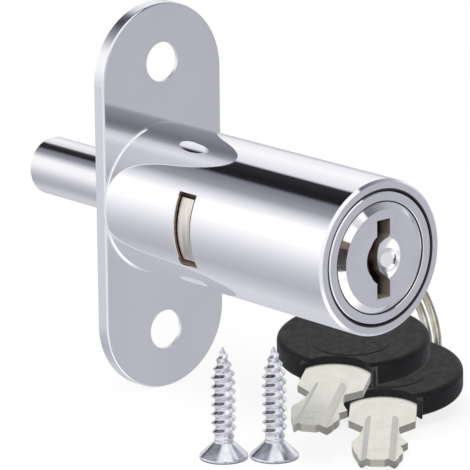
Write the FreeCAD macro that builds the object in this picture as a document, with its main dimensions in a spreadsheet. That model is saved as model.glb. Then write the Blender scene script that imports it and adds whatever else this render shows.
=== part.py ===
import FreeCAD, Part
import math
import os

import Sketcher
from FreeCAD import Placement, Rotation, Vector

# A push lock for sliding doors: the chromed barrel is screwed to the door by a flange at its
# rear end, and a plunger with a keyed core drives a round bolt out behind the flange.
# The origin is on the lock's axis at the front face of the flange. +Z runs up the flange,
# the key goes in from -Y, and the bolt comes out towards +Y. The latch looks out towards -X.
# Distances named "from the flange" are measured from that face towards the front.

doc = FreeCAD.newDocument("PushLock")
sheet = doc.addObject("Spreadsheet::Sheet", "Sizes")
rows = []


class Size:
    # A length that carries its formula and its number together.
    def __init__(self, formula, number):
        self.formula = formula
        self.number = number

    def __float__(self):
        return float(self.number)

    def __add__(self, other):
        return combine(self, "+", other, self.number + float(other))

    def __radd__(self, other):
        return combine(other, "+", self, float(other) + self.number)

    def __sub__(self, other):
        return combine(self, "-", other, self.number - float(other))

    def __rsub__(self, other):
        return combine(other, "-", self, float(other) - self.number)

    def __mul__(self, other):
        return combine(self, "*", other, self.number * float(other))

    def __rmul__(self, other):
        return combine(other, "*", self, float(other) * self.number)

    def __truediv__(self, other):
        return combine(self, "/", other, self.number / float(other))

    def __neg__(self):
        return Size("(0 - " + self.formula + ")", -self.number)


def text_of(term):
    if isinstance(term, Size):
        return term.formula
    return "(" + repr(float(term)) + ")"


def combine(left, sign, right, number):
    return Size("(" + text_of(left) + " " + sign + " " + text_of(right) + ")", number)


def beside(radius, half_width):
    # How far from the centre a circle passes above the edge of a strip.
    square = radius * radius - half_width * half_width
    return Size("sqrt" + square.formula, math.sqrt(square.number))


def size(name, value, note):
    row = str(len(rows) + 1)
    rows.append(name)
    sheet.set("A" + row, note)
    sheet.set("B" + row, str(value))
    sheet.setAlias("B" + row, name)
    return Size("Sizes." + name, float(value))


# Barrel and flange
barrel_radius = size("barrel_radius", 11.0, "outside radius of the barrel")
barrel_length = size("barrel_length", 46.5, "flange face to rim")
barrel_wall = size("barrel_wall", 1.0, "wall of the barrel")
rim_lip = size("rim_lip", 2.0, "depth of the lip that stops the plunger")
rim_width = size("rim_width", 1.5, "width of the rim, seen from the front")
rim_chamfer = size("rim_chamfer", 0.35, "chamfer round the rim")
window_back = size("window_back", 15.3, "window's rear edge from the flange")
window_width = size("window_width", 3.7, "window along the barrel")
window_angle = size("window_angle", 58.0, "window round the barrel, degrees")
channel_depth = size("channel_depth", 0.5, "depth of the channel that guides the latch")
channel_angle = size("channel_angle", 55.0, "channel round the barrel, degrees")
cut_past = size("cut_past", 0.5, "how far a cut runs past a surface")
tab_angle = size("tab_angle", 40.0, "staked tab round the barrel, degrees")
tab_inset = size("tab_inset", 0.4, "tabs and root thinner than the barrel's outside")
root_relief = size("root_relief", 0.2, "thinner root in front of the flange")
tab_gap_angle = size("tab_gap_angle", 1.0, "play of a tab in its slot, degrees")
flange_length = size("flange_length", 57.4, "flange along Z")
flange_inset = size("flange_inset", 0.05, "barrel wider than the flange, each side")
seat_depth = size("seat_depth", 0.3, "depth of the barrel's seat in the flange")
seat_play = size("seat_play", 0.1, "radial play of the barrel's seat")
flange_thickness = size("flange_thickness", 2.0, "flange plate")
flange_edge = size("flange_edge", 0.3, "rounding of the plate's edge")
hole_spacing = size("hole_spacing", 40.0, "screw holes apart")
hole_radius = size("hole_radius", 2.9, "screw hole")
countersink_radius = size("countersink_radius", 4.35, "countersink at the plate's back")
seat_gap = size("seat_gap", 0.03, "fit of pieces that are fixed together")

# Plunger and bolt
running_gap = size("running_gap", 0.1, "radial play of the plunger")
stroke = size("stroke", 12.0, "travel of the plunger")
end_play = size("end_play", 0.2, "room left at the end of the travel")
plunger_rear = size("plunger_rear", 12.0, "plunger's rear end from the flange")
edge_break = size("edge_break", 0.2, "small chamfers")
cavity_radius = size("cavity_radius", 7.0, "room behind the core")
bolt_radius = size("bolt_radius", 4.33, "bolt")
bolt_reach = size("bolt_reach", 26.5, "bolt's tip behind the flange face")
bolt_chamfer = size("bolt_chamfer", 0.45, "chamfer of the bolt's tip")
bolt_groove_width = size("bolt_groove_width", 0.8, "groove round the bolt at the flange")
bolt_groove_depth = size("bolt_groove_depth", 0.3, "groove round the bolt at the flange")
bolt_groove_past = size("bolt_groove_past", 0.2, "groove's end behind the flange")
bolt_head_thickness = size("bolt_head_thickness", 2.8, "head of the bolt")
cross_pin_radius = size("cross_pin_radius", 0.9, "pin through bolt and plunger")
guide_thickness = size("guide_thickness", 1.2, "disc of the bolt guide")
guide_spigot = size("guide_spigot", 6.0, "spigot of the bolt guide")
guide_gap = size("guide_gap", 0.07, "radial play of the bolt")

# Core, clip and wafers
plunger_wall = size("plunger_wall", 1.55, "wall of the plunger's nose round the core")
core_gap = size("core_gap", 0.05, "radial play of the core")
core_proud = size("core_proud", 0.6, "core's face in front of the plunger")
core_chamfer_radial = size("core_chamfer_radial", 0.9, "chamfer of the core, radially")
core_chamfer_axial = size("core_chamfer_axial", 0.7, "chamfer of the core, along Y")
partition_front = size("partition_front", 24.0, "wall behind the core from the flange")
partition_thickness = size("partition_thickness", 1.5, "wall behind the core")
tail_radius = size("tail_radius", 5.0, "tail of the core")
tail_room = size("tail_room", 0.6, "tail's end in front of the latch")
clip_thickness = size("clip_thickness", 0.8, "retaining clip")
clip_width = size("clip_width", 2.1, "retaining clip, radially")
groove_radius = size("groove_radius", 4.2, "bottom of the clip's groove")
clip_gap = size("clip_gap", 0.05, "play of the clip")
clip_angle = size("clip_angle", 290.0, "clip round the tail, degrees")
dimple_radius = size("dimple_radius", 3.1, "hollow round the keyway")
dimple_sphere = size("dimple_sphere", 4.2, "curve of the hollow")
keyway_half_width = size("keyway_half_width", 1.2, "half the keyway's slot")
keyway_half_height = size("keyway_half_height", 5.55, "half the keyway's height")
keyway_shift = size("keyway_shift", 1.1, "sideways bow of the keyway's middle")
keyway_bow_half = size("keyway_bow_half", 1.9, "half height of the bowed middle")
keyway_bow_end = size("keyway_bow_end", 3.3, "where the bow begins")
keyway_round = size("keyway_round", 2.2, "radius of the bow's ends")
wafer_count = 6
wafer_front = size("wafer_front", 40.5, "first wafer from the flange")
wafer_pitch = size("wafer_pitch", 2.3, "wafer to wafer")
wafer_thickness = size("wafer_thickness", 1.2, "wafer")
wafer_play = size("wafer_play", 0.075, "axial play each side of a wafer")
wafer_half_width = size("wafer_half_width", 4.3, "half a wafer's width")
wafer_gap = size("wafer_gap", 0.1, "side play of a wafer")
wafer_throw = size("wafer_throw", 0.8, "wafer's travel into the plunger")
wafer_arm = size("wafer_arm", 6.1, "end of the wafer's arm from the axis")
wafer_arm_half = size("wafer_arm_half", 0.5, "half the arm's height")
wafer_window_half_width = size("wafer_window_half_width", 2.8, "half the key window")
wafer_window_half_height = size("wafer_window_half_height", 4.4, "half the key window's height")
wafer_spring_radius = size("wafer_spring_radius", 0.5, "wafer spring, outside")
wafer_spring_wall = size("wafer_spring_wall", 0.2, "wafer spring's wire")
wafer_spring_length = size("wafer_spring_length", 2.2, "wafer spring")
wafer_cuts = [0.3, -0.2, 0.5, -0.4, 0.1, 0.4]

# Latch and its eccentric pin
latch_gap = size("latch_gap", 0.1, "play of the latch")
latch_side_gap = size("latch_side_gap", 0.3, "gap behind the latch in the window")
latch_half_width = size("latch_half_width", 4.5, "half the latch's width")
latch_tip_gap = size("latch_tip_gap", 0.05, "latch's tip to the channel's floor")
latch_tail = size("latch_tail", 3.2, "inner end of the latch from the axis")
latch_draw = size("latch_draw", 1.0, "how far the core draws the latch")
crank_pin_radius = size("crank_pin_radius", 1.2, "eccentric pin on the core's tail")
latch_spring_outside = size("latch_spring_outside", 1.15, "latch spring, outside")
latch_spring_wire = size("latch_spring_wire", 0.4, "latch spring's wire")
latch_spring_height = size("latch_spring_height", 2.6, "latch spring below the axis")
latch_pocket_wall = size("latch_pocket_wall", 1.0, "plunger's wall behind the spring pocket")
return_spring_radius = size("return_spring_radius", 5.6, "return spring, middle of the wire")
return_spring_wire = size("return_spring_wire", 1.0, "return spring's wire")
return_spring_turns = 4

# Wood screws, which stand on their heads beside the lock
screw_length = size("screw_length", 16.0, "screw over all")
screw_head_radius = size("screw_head_radius", 3.4, "head of the screw")
screw_head_edge = size("screw_head_edge", 0.4, "rim of the head")
screw_shank_radius = size("screw_shank_radius", 1.5, "shank, with the thread's mean size")
screw_tip = size("screw_tip", 3.6, "pointed end")
recess_half_length = size("recess_half_length", 1.9, "cross recess, half its length")
recess_half_width = size("recess_half_width", 0.45, "cross recess, half its width")
recess_depth = size("recess_depth", 1.6, "cross recess")
recess_taper = size("recess_taper", 8.0, "taper of the cross recess, degrees")

# Keys on a split ring
key_head_radius = size("key_head_radius", 11.0, "plastic head")
key_head_thickness = size("key_head_thickness", 3.6, "plastic head")
key_head_edge = size("key_head_edge", 0.8, "rounding of the head")
key_boss_radius = size("key_boss_radius", 6.1, "raised disc of the head")
key_boss_height = size("key_boss_height", 0.2, "raised disc of the head")
key_boss_offset = size("key_boss_offset", 1.6, "raised disc towards the blade")
key_slot_half = size("key_slot_half", 2.6, "half the slot's straight sides")
key_slot_radius = size("key_slot_radius", 2.1, "half the slot's width")
key_slot_bar = size("key_slot_bar", 2.6, "plastic outside the slot")
key_wing_half = size("key_wing_half", 5.5, "half the head's width beside the blade")
key_wing_end = size("key_wing_end", 10.9, "end of the head's wings from its centre")
key_wing_thickness = size("key_wing_thickness", 2.8, "head's wings beside the blade")
key_bite_radius = size("key_bite_radius", 6.0, "round notch of the head over the blade")
key_bite_start = size("key_bite_start", 7.9, "bottom of that notch from the head's centre")
key_sheet = size("key_sheet", 1.1, "thickness of the blade's sheet")
key_bow = size("key_bow", 0.9, "bow of the blade's middle")
key_bow_half = size("key_bow_half", 1.5, "half width of the bowed middle")
key_bow_end = size("key_bow_end", 2.3, "where the blade's bow begins")
key_bow_start = size("key_bow_start", 14.2, "end of the flat root from the head's centre")
key_bow_run = size("key_bow_run", 1.6, "length over which the bow rises")
key_shoulder_half = size("key_shoulder_half", 4.7, "half the shoulder's width")
key_neck_half = size("key_neck_half", 2.5, "half the neck's width")
key_blade_half = size("key_blade_half", 3.9, "half the blade's greatest width")
key_tang = size("key_tang", 5.0, "start of the tang from the head's centre")
key_tip_half = size("key_tip_half", 1.0, "half the width of the blade's tip")
key_shoulder_end = size("key_shoulder_end", 15.8, "end of the shoulder")
key_neck_run = size("key_neck_run", 2.0, "shoulder to neck")
key_swell_run = size("key_swell_run", 6.8, "shoulder to the blade's widest place")
key_wave = size("key_wave", 1.0, "how far the blade narrows before the tip")
key_wave_run = size("key_wave_run", 3.1, "length of a wave of the edge")
key_long_round = size("key_long_round", 11.7, "radius of the blade's long curves")
key_short_round = size("key_short_round", 7.8, "radius of the blade's shorter curves")
key_tip_round = size("key_tip_round", 4.2, "radius of the corners of the tip")
key_wave_round = size("key_wave_round", 3.0, "radius of a wave")
key_blade_end = size("key_blade_end", 30.0, "tip from the head's centre")
key_fit = size("key_fit", 0.05, "tang in its pocket")
key_spacing = size("key_spacing", 4.75, "key to key along the stack")
ring_radius = size("ring_radius", 10.4, "split ring, middle of the wire")
ring_wire = size("ring_wire", 1.2, "split ring's wire")
ring_pitch = size("ring_pitch", 1.65, "turn to turn of the split ring")

# Where the loose pieces stand, on the level of the flange's lower end
screw_left = size("screw_left", 13.2, "middle of the screw pair from the axis, towards -X")
screw_ahead = size("screw_ahead", 33.9, "middle of the screw pair from the flange")
screw_apart_across = size("screw_apart_across", 5.4, "second screw from the first, along X")
screw_apart_ahead = size("screw_apart_ahead", 4.5, "second screw from the first, along -Y")
key_right = size("key_right", 16.6, "lower key's head from the axis, towards +X")
key_ahead = size("key_ahead", 29.6, "lower key's head from the flange")
key_rest = size("key_rest", 28.68, "where the lower key touches down, from its head's centre")
key_shift_back = size("key_shift_back", 0.37, "upper key's slot from the lower one's, lengthwise")
key_shift_side = size("key_shift_side", 3.78, "upper key's slot from the lower one's, sideways")
ring_behind = size("ring_behind", 9.48, "ring's centre behind the lower key's slot")
ring_above = size("ring_above", 3.30, "ring's centre above the lower key's middle")
keys_heading = -135.0
keys_pitch = 8.1
upper_key_fan = -9.0
ring_lean = 32.28
ring_yaw = 16.47
ring_step = 24.0

doc.recompute()

# Sizes that follow from the ones above
bore_radius = barrel_radius - barrel_wall
flange_width = (barrel_radius - flange_inset) * 2
nose_bore = barrel_radius - rim_width
nose_radius = nose_bore - running_gap
plunger_radius = bore_radius - running_gap
core_radius = nose_radius - plunger_wall - core_gap
tab_radius = barrel_radius - tab_inset
latch_pocket_end = plunger_radius - latch_pocket_wall
latch_spring_length = latch_pocket_end - latch_tail - latch_gap * 2
channel_radius = bore_radius + channel_depth
window_front = window_back + window_width
latch_back = window_back + latch_side_gap
latch_front = window_front - latch_gap
latch_thickness = latch_front - latch_back
latch_tip_radius = channel_radius - latch_tip_gap
latch_middle = (latch_back + latch_front) / 2
shoulder = barrel_length - rim_lip - stroke - end_play
partition_back = partition_front - partition_thickness
tail_end = latch_front + tail_room
bolt_head_back = plunger_rear
bolt_head_front = plunger_rear + bolt_head_thickness
bolt_head_radius = cavity_radius - latch_gap
cross_pin_place = plunger_rear + bolt_head_thickness / 2
wafer_radius = core_radius - core_gap
wafer_slot_half = wafer_half_width + wafer_gap
wafer_slot_width = wafer_thickness + wafer_play * 2
shear_radius = core_radius + wafer_throw + wafer_gap * 2
wafer_row = wafer_pitch * (wafer_count - 1)
wafer_last = wafer_front - wafer_row
ground = -(flange_length / 2)
key_slot_place = key_head_radius - key_slot_bar - key_slot_radius
full_turn = 360.0
crank_high = 0.7072  # height of the eccentric pin halfway through its turn, for a draw of one
zero = Size("0", 0)

# The key blade's edge, anticlockwise from the tang: a notch on one side, two waves on the other
key_edge = [
    (key_tang, -key_shoulder_half),
    (key_shoulder_end, -key_shoulder_half),
    (key_shoulder_end + key_neck_run, -key_neck_half),
    (key_shoulder_end + key_swell_run, -key_blade_half),
    (key_blade_end - key_wave_run, key_wave - key_blade_half),
    (key_blade_end, -key_tip_half),
    (key_blade_end, key_tip_half),
    (key_blade_end - key_wave_run, key_blade_half - key_wave),
    (key_blade_end - key_wave_run * 2, key_blade_half - key_wave),
    (key_shoulder_end + key_swell_run, key_blade_half),
    (key_shoulder_end + key_neck_run, key_neck_half),
    (key_shoulder_end, key_shoulder_half),
    (key_tang, key_shoulder_half),
]
key_edge_rounds = {
    2: (key_long_round, -1),
    3: (key_long_round, 1),
    4: (key_tip_round, 1),
    6: (key_tip_round, 1),
    7: (key_wave_round, 1),
    8: (key_short_round, 1),
    9: (key_short_round, -1),
}


def bind(thing, name, value):
    if isinstance(value, Size):
        thing.setExpression(name, value.formula)
    else:
        setattr(thing, name, value)


def new_body(name):
    body = doc.addObject("PartDesign::Body", name)
    body.Label = name
    return body


def sketch_on(body, plane, name, offset=None):
    # offset is measured along the plane's own normal: -Y for XZ, +X for YZ, +Z for XY.
    sketch = body.newObject("Sketcher::SketchObject", body.Name + "_" + name)
    support = [item for item in body.Origin.OriginFeatures if item.Role == plane + "_Plane"]
    sketch.AttachmentSupport = (support[0], [""])
    sketch.MapMode = "FlatFace"
    if offset is not None:
        sketch.setExpression("AttachmentOffset.Base.z", text_of(offset))
    return sketch


def hold(sketch, kind, places, value):
    # One driving dimension of a sketch, tied to its formula where it has one.
    index = sketch.addConstraint(Sketcher.Constraint(kind, *places, float(value)))
    if isinstance(value, Size):
        name = kind + str(index)
        sketch.renameConstraint(index, name)
        sketch.setExpression("Constraints." + name, value.formula)


def arc_between(start, end, radius, turn):
    # turn is 1 for an arc that runs anticlockwise and -1 for one that runs clockwise.
    chord = end - start
    half = chord.Length / 2
    side = Vector(chord.y, -chord.x, 0).normalize()
    rise = radius - math.sqrt(radius * radius - half * half)
    return Part.Arc(start, (start + end) / 2 + side * (rise * turn), end)


def outline(sketch, corners, arcs=None):
    # Closed outline. arcs gives the radius and turn of each round edge, by its first corner.
    arcs = arcs or {}
    points = [Vector(float(across), float(along), 0) for across, along in corners]
    count = len(points)
    first = sketch.GeometryCount
    ends = []
    for i, start in enumerate(points):
        end = points[(i + 1) % count]
        if i in arcs:
            radius, turn = arcs[i]
            sketch.addGeometry(arc_between(start, end, float(radius), turn))
            ends.append((1, 2) if turn > 0 else (2, 1))
        else:
            sketch.addGeometry(Part.LineSegment(start, end))
            ends.append((1, 2))
    for i in range(count):
        following = (i + 1) % count
        places = (first + i, ends[i][1], first + following, ends[following][0])
        sketch.addConstraint(Sketcher.Constraint("Coincident", *places))
    for i, (across, along) in enumerate(corners):
        hold(sketch, "DistanceX", (-1, 1, first + i, ends[i][0]), across)
        hold(sketch, "DistanceY", (-1, 1, first + i, ends[i][0]), along)
    for i, (radius, turn) in arcs.items():
        hold(sketch, "Radius", (first + i,), radius)


def circle(sketch, across, along, radius):
    centre = Vector(float(across), float(along), 0)
    index = sketch.addGeometry(Part.Circle(centre, Vector(0, 0, 1), float(radius)))
    hold(sketch, "DistanceX", (-1, 1, index, 3), across)
    hold(sketch, "DistanceY", (-1, 1, index, 3), along)
    hold(sketch, "Radius", (index,), radius)


def stadium(sketch, across, along, half, radius):
    # Slot with round ends, its straight sides along the sketch's second axis.
    corners = [
        (across + radius, along - half),
        (across + radius, along + half),
        (across - radius, along + half),
        (across - radius, along - half),
    ]
    lines = [(0, 1), (2, 3)]
    first = sketch.GeometryCount
    points = [Vector(float(a), float(b), 0) for a, b in corners]
    top = Vector(float(across), float(along + half + radius), 0)
    bottom = Vector(float(across), float(along - half - radius), 0)
    for start, end in lines:
        sketch.addGeometry(Part.LineSegment(points[start], points[end]))
    sketch.addGeometry(Part.Arc(points[1], top, points[2]))
    sketch.addGeometry(Part.Arc(points[3], bottom, points[0]))
    for line, place, arc, end in [(0, 2, 2, 1), (1, 1, 2, 2), (1, 2, 3, 1), (0, 1, 3, 2)]:
        pair = (first + line, place, first + arc, end)
        sketch.addConstraint(Sketcher.Constraint("Tangent", *pair))
    for arc, centre in [(2, along + half), (3, along - half)]:
        hold(sketch, "DistanceX", (-1, 1, first + arc, 3), across)
        hold(sketch, "DistanceY", (-1, 1, first + arc, 3), centre)
        hold(sketch, "Radius", (first + arc,), radius)


def rectangle(sketch, low_x, high_x, low_y, high_y):
    outline(sketch, [(low_x, low_y), (high_x, low_y), (high_x, high_y), (low_x, high_y)])


def turn(body, kind, name, sketch, axis="V_Axis", angle=full_turn, middle=False):
    # A revolved solid or a revolved cut, named Revolution or Groove.
    feature = body.newObject("PartDesign::" + kind, body.Name + "_" + name)
    feature.Profile = (sketch, [""])
    feature.ReferenceAxis = (sketch, [axis])
    bind(feature, "Angle", angle)
    feature.Midplane = middle
    return feature


def extrude(body, kind, name, sketch, length, reverse=False, middle=False):
    # A straight solid or a straight cut, named Pad or Pocket.
    feature = body.newObject("PartDesign::" + kind, body.Name + "_" + name)
    feature.Profile = (sketch, [""])
    feature.Reversed = reverse
    bind(feature, "Length", length)
    feature.Midplane = middle
    return feature


def repeat(body, kind, name, features):
    # A mirror or a pattern, which becomes the body's tip.
    pattern = body.newObject("PartDesign::" + kind, body.Name + "_" + name)
    pattern.Originals = features
    body.Tip = pattern
    return pattern


def origin_item(body, role):
    return [item for item in body.Origin.OriginFeatures if item.Role == role][0]


def round_edges(body, kind, name, base, chosen, width):
    # A fillet or a chamfer on the edges that the test picks.
    doc.recompute()
    edges = ["Edge" + str(i + 1) for i, edge in enumerate(base.Shape.Edges) if chosen(edge)]
    feature = body.newObject("PartDesign::" + kind, body.Name + "_" + name)
    feature.Base = (base, edges)
    bind(feature, "Radius" if kind == "Fillet" else "Size", width)
    return feature


def lies_at(edge, axis, place):
    box = edge.BoundBox
    low, high = {"y": (box.YMin, box.YMax), "z": (box.ZMin, box.ZMax)}[axis]
    return abs(low - place) < 0.001 and abs(high - place) < 0.001


def make_barrel():
    body = new_body("barrel")
    tube = sketch_on(body, "XY", "tube_section")
    outline(tube, [
        (nose_bore, -barrel_length),
        (barrel_radius - rim_chamfer, -barrel_length),
        (barrel_radius, rim_chamfer - barrel_length),
        (barrel_radius, -root_relief),
        (tab_radius, -root_relief),
        (tab_radius, seat_depth),
        (bore_radius, seat_depth),
        (bore_radius, rim_lip - barrel_length),
        (nose_bore, rim_lip - barrel_length),
    ])
    turn(body, "Revolution", "tube", tube)
    channel_front = latch_front + stroke + end_play
    inside = bore_radius - cut_past
    channel = sketch_on(body, "XY", "channel_section")
    rectangle(channel, -channel_radius, -inside, -channel_front, flange_thickness)
    turn(body, "Groove", "channel", channel, angle=channel_angle, middle=True)
    window = sketch_on(body, "XY", "window_section")
    rectangle(window, -(barrel_radius + cut_past), -inside, -window_front, -window_back)
    turn(body, "Groove", "window", window, angle=window_angle, middle=True)
    tab = sketch_on(body, "YZ", "tab_section")
    rectangle(tab, -barrel_wall, flange_thickness, bore_radius, tab_radius)
    tab_solid = turn(body, "Revolution", "tab", tab, "H_Axis", tab_angle, True)
    mirror = repeat(body, "Mirrored", "tabs", [tab_solid])
    mirror.MirrorPlane = (origin_item(body, "XY_Plane"), [""])
    return body


def make_flange_plate():
    body = new_body("flange_plate")
    half = flange_length / 2 - flange_width / 2
    shape = sketch_on(body, "XZ", "shape")
    stadium(shape, zero, zero, half, flange_width / 2)
    circle(shape, zero, zero, guide_spigot + seat_gap)
    for side in (1, -1):
        circle(shape, zero, hole_spacing * (side / 2), hole_radius)
    plate = extrude(body, "Pad", "plate", shape, flange_thickness, reverse=True)
    outer = float(flange_width / 2 - barrel_wall)

    def on_front_edge(edge):
        far = max(edge.BoundBox.XMax, -edge.BoundBox.XMin)
        return lies_at(edge, "y", 0) and far > outer

    round_edges(body, "Fillet", "front_edge", plate, on_front_edge, flange_edge)
    seat = sketch_on(body, "XZ", "seat_shape")
    circle(seat, zero, zero, barrel_radius + seat_play)
    extrude(body, "Pocket", "seat", seat, seat_depth)
    sink_depth = countersink_radius - hole_radius
    cones = []
    for side, name in ((1, "upper_sink"), (-1, "lower_sink")):
        section = sketch_on(body, "YZ", name + "_section")
        middle = hole_spacing * (side / 2)
        outline(section, [
            (flange_thickness - sink_depth, middle),
            (flange_thickness - sink_depth, middle + hole_radius),
            (flange_thickness, middle + countersink_radius),
            (flange_thickness, middle),
        ])
        cone = body.newObject("PartDesign::Groove", body.Name + "_" + name)
        cone.Profile = (section, [""])
        cone.ReferenceAxis = (section, ["Edge4"])
        cone.Angle = full_turn
        cones.append(cone)
    slot = sketch_on(body, "YZ", "tab_slot_section")
    low = bore_radius - seat_gap
    high = tab_radius + seat_gap
    rectangle(slot, -barrel_wall, flange_thickness + barrel_wall, low, high)
    angle = tab_angle + tab_gap_angle
    slot_cut = turn(body, "Groove", "tab_slot", slot, "H_Axis", angle, True)
    mirror = repeat(body, "Mirrored", "tab_slots", [slot_cut])
    mirror.MirrorPlane = (origin_item(body, "XY_Plane"), [""])
    return body


def make_bolt_guide():
    body = new_body("bolt_guide")
    section = sketch_on(body, "XY", "section")
    inner = bolt_radius + guide_gap
    outline(section, [
        (inner, -guide_thickness),
        (bore_radius - seat_gap, -guide_thickness),
        (bore_radius - seat_gap, seat_depth),
        (guide_spigot, seat_depth),
        (guide_spigot, flange_thickness),
        (inner, flange_thickness),
    ])
    turn(body, "Revolution", "bush", section)
    return body


def make_plunger():
    body = new_body("plunger")
    section = sketch_on(body, "XY", "section")
    core_bore = core_radius + core_gap
    outline(section, [
        (core_bore + edge_break, -barrel_length),
        (nose_radius - edge_break, -barrel_length),
        (nose_radius, edge_break - barrel_length),
        (nose_radius, -shoulder),
        (plunger_radius, -shoulder),
        (plunger_radius, -plunger_rear),
        (cavity_radius, -plunger_rear),
        (cavity_radius, -partition_back),
        (tail_radius + core_gap, -partition_back),
        (tail_radius + core_gap, -partition_front),
        (core_bore, -partition_front),
        (core_bore, edge_break - barrel_length),
    ])
    turn(body, "Revolution", "sleeve", section)
    # Blind channels over and under the core take the wafers when the key is out.
    half = wafer_slot_half + wafer_gap
    low = wafer_half_width
    channel = sketch_on(body, "XZ", "shear_channel_section", wafer_front + wafer_pitch / 2)
    corners = [
        (half, low),
        (half, beside(shear_radius, half)),
        (-half, beside(shear_radius, half)),
        (-half, low),
    ]
    outline(channel, corners, {1: (shear_radius, 1)})
    cut = extrude(body, "Pocket", "shear_channel", channel, wafer_row + wafer_pitch)
    mirror = repeat(body, "Mirrored", "shear_channels", [cut])
    mirror.MirrorPlane = (origin_item(body, "XY_Plane"), [""])
    slot = sketch_on(body, "YZ", "latch_slot_section")
    side = latch_half_width + latch_gap
    rectangle(slot, -(latch_front + latch_gap), latch_gap - latch_back, -side, side)
    extrude(body, "Pocket", "latch_slot", slot, barrel_radius)
    pocket = sketch_on(body, "YZ", "spring_pocket_section")
    pocket_radius = latch_spring_outside + latch_gap
    circle(pocket, -latch_middle, -latch_spring_height, pocket_radius)
    extrude(body, "Pocket", "spring_pocket", pocket, latch_pocket_end, reverse=True)
    hole = sketch_on(body, "XY", "pin_hole_section")
    circle(hole, zero, -cross_pin_place, cross_pin_radius + seat_gap)
    extrude(body, "Pocket", "pin_hole", hole, barrel_radius * 2, middle=True)
    return body


def make_bolt():
    body = new_body("bolt")
    section = sketch_on(body, "XY", "section")
    groove_end = flange_thickness + bolt_groove_past
    outline(section, [
        (zero, -bolt_head_front),
        (bolt_head_radius, -bolt_head_front),
        (bolt_head_radius, -bolt_head_back),
        (bolt_radius, -bolt_head_back),
        (bolt_radius, groove_end - bolt_groove_width),
        (bolt_radius - bolt_groove_depth, groove_end - bolt_groove_width),
        (bolt_radius - bolt_groove_depth, groove_end),
        (bolt_radius, groove_end),
        (bolt_radius, bolt_reach - bolt_chamfer),
        (bolt_radius - bolt_chamfer, bolt_reach),
        (zero, bolt_reach),
    ])
    turn(body, "Revolution", "rod", section)
    hole = sketch_on(body, "XY", "pin_hole_section")
    circle(hole, zero, -cross_pin_place, cross_pin_radius + seat_gap)
    extrude(body, "Pocket", "pin_hole", hole, barrel_radius * 2, middle=True)
    return body


def make_bolt_pin():
    pin = doc.addObject("Part::Cylinder", "bolt_pin")
    pin.Label = "bolt_pin"
    half = plunger_radius - edge_break
    bind(pin, "Radius", cross_pin_radius)
    bind(pin, "Height", half * 2)
    bind(pin, "Placement.Base.y", -cross_pin_place)
    bind(pin, "Placement.Base.z", -half)
    return pin


def make_core():
    body = new_body("core")
    face = barrel_length + core_proud
    rear = partition_front + core_gap
    clip_front = partition_back - core_gap * 2
    groove_front = clip_front + clip_gap
    groove_back = clip_front - clip_thickness - clip_gap
    section = sketch_on(body, "XY", "section")
    outline(section, [
        (zero, -face),
        (core_radius - core_chamfer_radial, -face),
        (core_radius, core_chamfer_axial - face),
        (core_radius, -rear),
        (tail_radius, -rear),
        (tail_radius, -groove_front),
        (groove_radius, -groove_front),
        (groove_radius, -groove_back),
        (tail_radius, -groove_back),
        (tail_radius, -tail_end),
        (zero, -tail_end),
    ])
    turn(body, "Revolution", "blank", section)
    dimple = sketch_on(body, "XY", "dimple_section")
    depth = dimple_sphere - beside(dimple_sphere, dimple_radius)
    corners = [(zero, -face), (dimple_radius, -face), (zero, depth - face)]
    outline(dimple, corners, {1: (dimple_sphere, 1)})
    turn(body, "Groove", "dimple", dimple)
    keyway_floor = wafer_last - wafer_pitch
    keyway = sketch_on(body, "XZ", "keyway_section", face)
    left = -(keyway_half_width + keyway_shift)
    right = keyway_half_width - keyway_shift
    outline(keyway, [
        (keyway_half_width, -keyway_half_height),
        (keyway_half_width, -keyway_bow_end),
        (right, -keyway_bow_half),
        (right, keyway_bow_half),
        (keyway_half_width, keyway_bow_end),
        (keyway_half_width, keyway_half_height),
        (-keyway_half_width, keyway_half_height),
        (-keyway_half_width, keyway_bow_end),
        (left, keyway_bow_half),
        (left, -keyway_bow_half),
        (-keyway_half_width, -keyway_bow_end),
        (-keyway_half_width, -keyway_half_height),
    ], {7: (keyway_round, 1), 9: (keyway_round, 1)})
    extrude(body, "Pocket", "keyway", keyway, face - keyway_floor)
    slot_start = wafer_front + wafer_slot_width / 2
    slot = sketch_on(body, "XZ", "wafer_slot_section", slot_start)
    out = core_radius + cut_past
    arm_top = wafer_arm_half + wafer_throw + wafer_gap
    arm_floor = wafer_arm_half + wafer_spring_length + wafer_gap
    arm_end = wafer_arm + wafer_gap * 2
    outline(slot, [
        (-wafer_slot_half, -out),
        (wafer_slot_half, -out),
        (wafer_slot_half, -arm_floor),
        (arm_end, -arm_floor),
        (arm_end, arm_top),
        (wafer_slot_half, arm_top),
        (wafer_slot_half, out),
        (-wafer_slot_half, out),
    ])
    cut = extrude(body, "Pocket", "wafer_slot", slot, wafer_slot_width)
    doc.recompute()
    pattern = repeat(body, "LinearPattern", "wafer_slots", [cut])
    pattern.Direction = (origin_item(body, "Y_Axis"), [""])
    bind(pattern, "Length", wafer_row)
    pattern.Occurrences = wafer_count
    crank = sketch_on(body, "XZ", "crank_pin_section", tail_end)
    circle(crank, -(latch_draw / 2), latch_draw / 2, crank_pin_radius)
    reach = tail_end - latch_back + latch_gap * 2
    extrude(body, "Pad", "crank_pin", crank, reach, reverse=True)
    return body


def make_core_clip():
    body = new_body("core_clip")
    section = sketch_on(body, "XY", "section")
    front = partition_back - core_gap * 2
    inner = groove_radius + clip_gap
    rectangle(section, inner, inner + clip_width, -front, clip_thickness - front)
    turn(body, "Revolution", "ring", section, angle=clip_angle, middle=True)
    return body


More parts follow.
